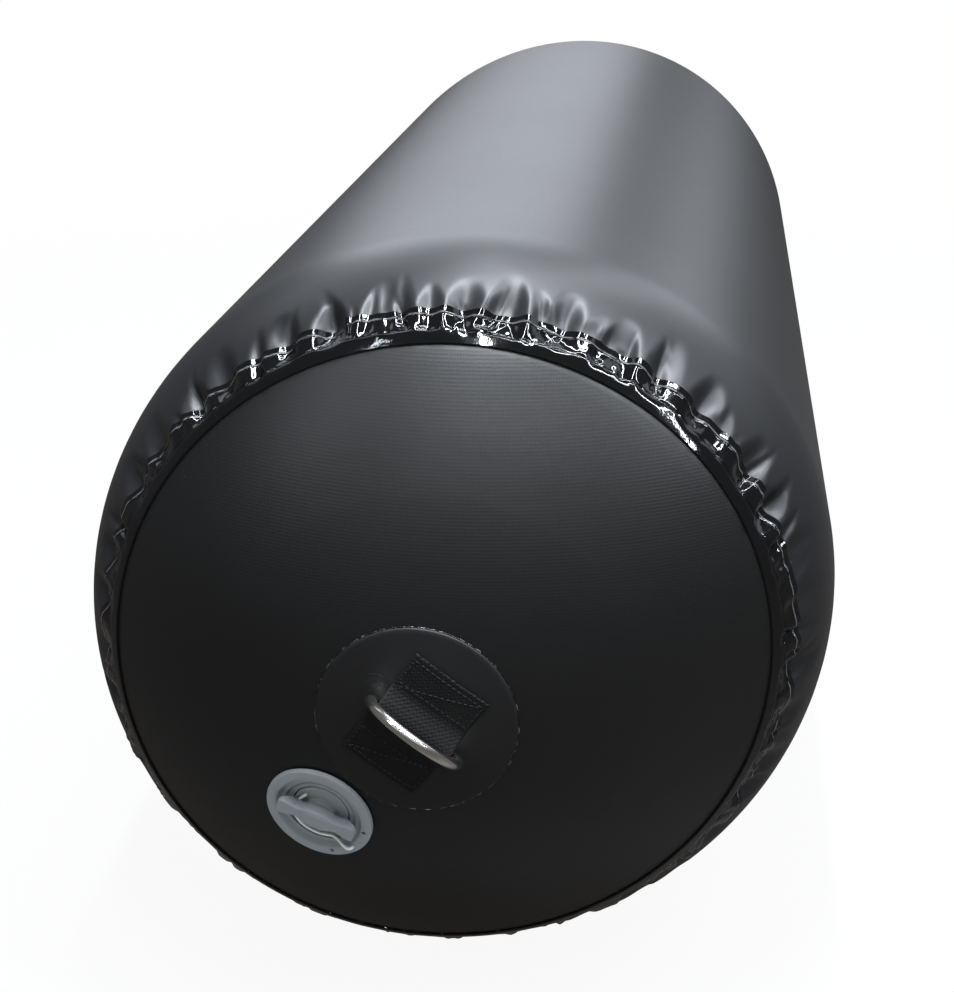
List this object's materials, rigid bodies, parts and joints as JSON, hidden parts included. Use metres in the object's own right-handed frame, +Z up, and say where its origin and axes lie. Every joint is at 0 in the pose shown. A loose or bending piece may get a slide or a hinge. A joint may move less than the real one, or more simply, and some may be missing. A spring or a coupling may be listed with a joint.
{
  "type": "boat fender",
  "caption": "Large inflatable cylindrical boat fender with domed ends, gathered and taped end seams, webbing-held D-rings and a recessed air valve with a wing cap.",
  "frame": {"origin": "centre of the fender's footprint, on the floor that it lies on", "axes": "+Z up, the fender's long axis along Y, the end with the air valve facing -Y"},
  "size_m": [0.46, 1.2956, 0.4573],
  "materials": {
    "pvc_skin": "satin black PVC-coated fabric",
    "seam_tape": "glossy black PVC tape",
    "pvc_patch": "satin black PVC patch",
    "webbing": "black woven polyester webbing",
    "stainless": "polished stainless steel",
    "valve_plastic": "moulded mid-grey plastic",
    "valve_rubber": "black rubber",
    "tether_cord": "white cord"
  },
  "bodies": {
    "fender": {"fender_body": "pvc_skin", "tube_lap_strip": "pvc_skin", "seam_tape_front": "seam_tape", "seam_tape_rear": "seam_tape", "ring_patch_front": "pvc_patch", "ring_patch_rear": "pvc_patch", "webbing_front": "webbing", "webbing_rear": "webbing", "valve_body": "valve_plastic", "valve_gasket": "valve_rubber", "valve_nut": "valve_plastic", "valve_spring": "stainless"},
    "ring_front": {"d_ring_front": "stainless"},
    "ring_rear": {"d_ring_rear": "stainless"},
    "cap_seal": {"cap_o_ring": "valve_rubber", "cap_tether": "tether_cord"},
    "cap": {"valve_cap": "valve_plastic"},
    "poppet": {"valve_poppet": "valve_plastic", "poppet_seal": "valve_rubber", "spring_retainer": "valve_plastic"}
  },
  "joints": [
    {"name": "ring_front_swing", "type": "hinge", "parent": "fender", "child": "ring_front", "pos_m": [0, -0.6098, 0.22732], "axis": [0.809, 0, -0.5878], "range_deg": [-63, 109]},
    {"name": "ring_rear_swing", "type": "hinge", "parent": "fender", "child": "ring_rear", "pos_m": [0, 0.6098, 0.22732], "axis": [0.809, 0, -0.5878], "range_deg": [-109, 63]},
    {"name": "cap_lift", "type": "slide", "parent": "fender", "child": "cap_seal", "axis": [-0.1938, -0.9528, -0.2338], "range_m": [0, 0.03]},
    {"name": "cap_turn", "type": "hinge", "parent": "cap_seal", "child": "cap", "pos_m": [-0.0569, -0.58917, 0.16], "axis": [-0.1938, -0.9528, -0.2338], "range_deg": [0, 90]},
    {"name": "poppet_press", "type": "slide", "parent": "fender", "child": "poppet", "axis": [0.1938, 0.9528, 0.2338], "range_m": [0, 0.004], "stiffness_N_per_m": 500, "springref_m": -0.003, "deforming": ["valve_spring"]}
  ]
}
